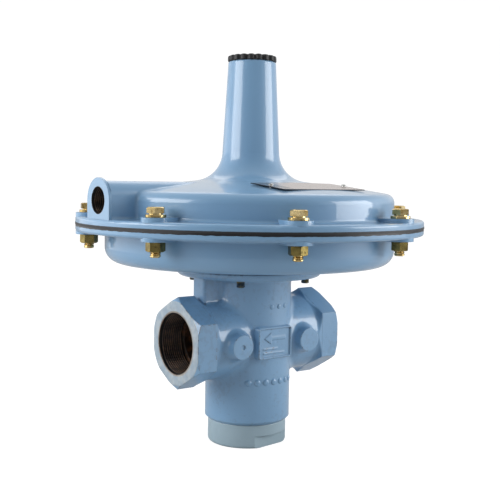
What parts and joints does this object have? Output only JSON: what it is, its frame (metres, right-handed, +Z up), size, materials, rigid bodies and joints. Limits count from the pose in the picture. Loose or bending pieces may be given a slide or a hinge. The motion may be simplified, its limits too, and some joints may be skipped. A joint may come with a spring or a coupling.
{
  "type": "pressure reducing valve",
  "caption": "Spring-loaded diaphragm pressure reducing valve: globe body with two female pipe ports, round flanged diaphragm case, tall spring tower with fluted cap and side vent.",
  "frame": {"origin": "centre of the flat underside of the bottom plug, on the valve's upright axis", "axes": "+Z up along the spring tower; +X along the pipe towards the inlet port, with the outlet port and the vent at -X; -Y is the side with the two round bosses and the nameplate"},
  "size_m": [0.3306, 0.3306, 0.3696],
  "materials": {
    "blue_enamel": "glossy light blue enamel over cast aluminium",
    "body_enamel": "glossy light blue enamel over rough cast iron",
    "plug_enamel": "thin grey-green blue paint over machined iron",
    "gasket_sheet": "dark compressed fibre sheet",
    "zinc_yellow": "yellow zinc dichromate plating",
    "zinc_olive": "darker olive and brass coloured zinc dichromate plating",
    "stainless": "turned stainless steel",
    "brass": "turned brass",
    "nitrile": "black nitrile rubber",
    "plated_steel": "bright zinc plated steel",
    "spring_steel": "oiled spring steel",
    "aluminium": "machined aluminium",
    "black_plastic": "moulded black plastic",
    "nameplate_metal": "thin satin metal plate"
  },
  "bodies": {
    "housing": {"upper_casing": "blue_enamel", "lower_casing": "blue_enamel", "valve_body": "body_enamel", "bottom_plug": "plug_enamel", "body_gasket": "gasket_sheet", "casing_bolts": "zinc_yellow", "casing_lock_washers": "zinc_yellow", "casing_nuts": "zinc_olive", "body_bolts": "zinc_yellow", "body_bolt_washers": "zinc_yellow", "seat_ring": "stainless", "seat_gasket": "gasket_sheet", "stem_guide": "brass", "stem_seal": "nitrile", "lower_guide_bush": "brass", "main_diaphragm": "nitrile", "balance_diaphragm": "nitrile", "control_spring": "spring_steel", "nameplate": "nameplate_metal", "nameplate_pins": "plated_steel", "vent_screen": "stainless", "plug_seal": "nitrile"},
    "stem_assembly": {"valve_stem": "stainless", "disc_holder": "brass", "valve_disc": "nitrile", "disc_retainer": "brass", "holder_nut": "brass", "upper_plate": "plated_steel", "lower_plate": "plated_steel", "lower_spring_seat": "plated_steel", "stem_nut": "plated_steel", "stem_sleeve": "brass", "balance_piston": "brass", "balance_washer": "plated_steel", "balance_nut": "plated_steel"},
    "spring_seat": {"upper_spring_seat": "plated_steel"},
    "adjuster": {"adjusting_screw": "aluminium"},
    "cap_lift": {"cap_gasket": "nitrile"},
    "cap": {"seal_cap": "black_plastic"}
  },
  "joints": [
    {"name": "stem_travel", "type": "slide", "parent": "housing", "child": "stem_assembly", "axis": [0, 0, 1], "range_m": [0, 0.009], "stiffness_N_per_m": 3000, "springref_m": -0.01, "deforming": ["control_spring", "main_diaphragm", "balance_diaphragm"]},
    {"name": "seat_advance", "type": "slide", "parent": "housing", "child": "spring_seat", "axis": [0, 0, 1], "range_m": [-0.02, 0.002], "deforming": ["control_spring"]},
    {"name": "adjuster_turn", "type": "hinge", "parent": "spring_seat", "child": "adjuster", "pos_m": [0, 0, 0.3406], "axis": [0, 0, 1], "range_deg": [-3600, 360]},
    {"name": "cap_rise", "type": "slide", "parent": "housing", "child": "cap_lift", "axis": [0, 0, 1], "range_m": [0, 0.012]},
    {"name": "cap_turn", "type": "hinge", "parent": "cap_lift", "child": "cap", "pos_m": [0, 0, 0.3666], "axis": [0, 0, 1], "range_deg": [0, 2160]}
  ],
  "couplings": [
    {"joint": "seat_advance", "follows": "adjuster_turn", "m_per_rad": 0.00031831},
    {"joint": "cap_rise", "follows": "cap_turn", "m_per_rad": 0.00031831}
  ]
}
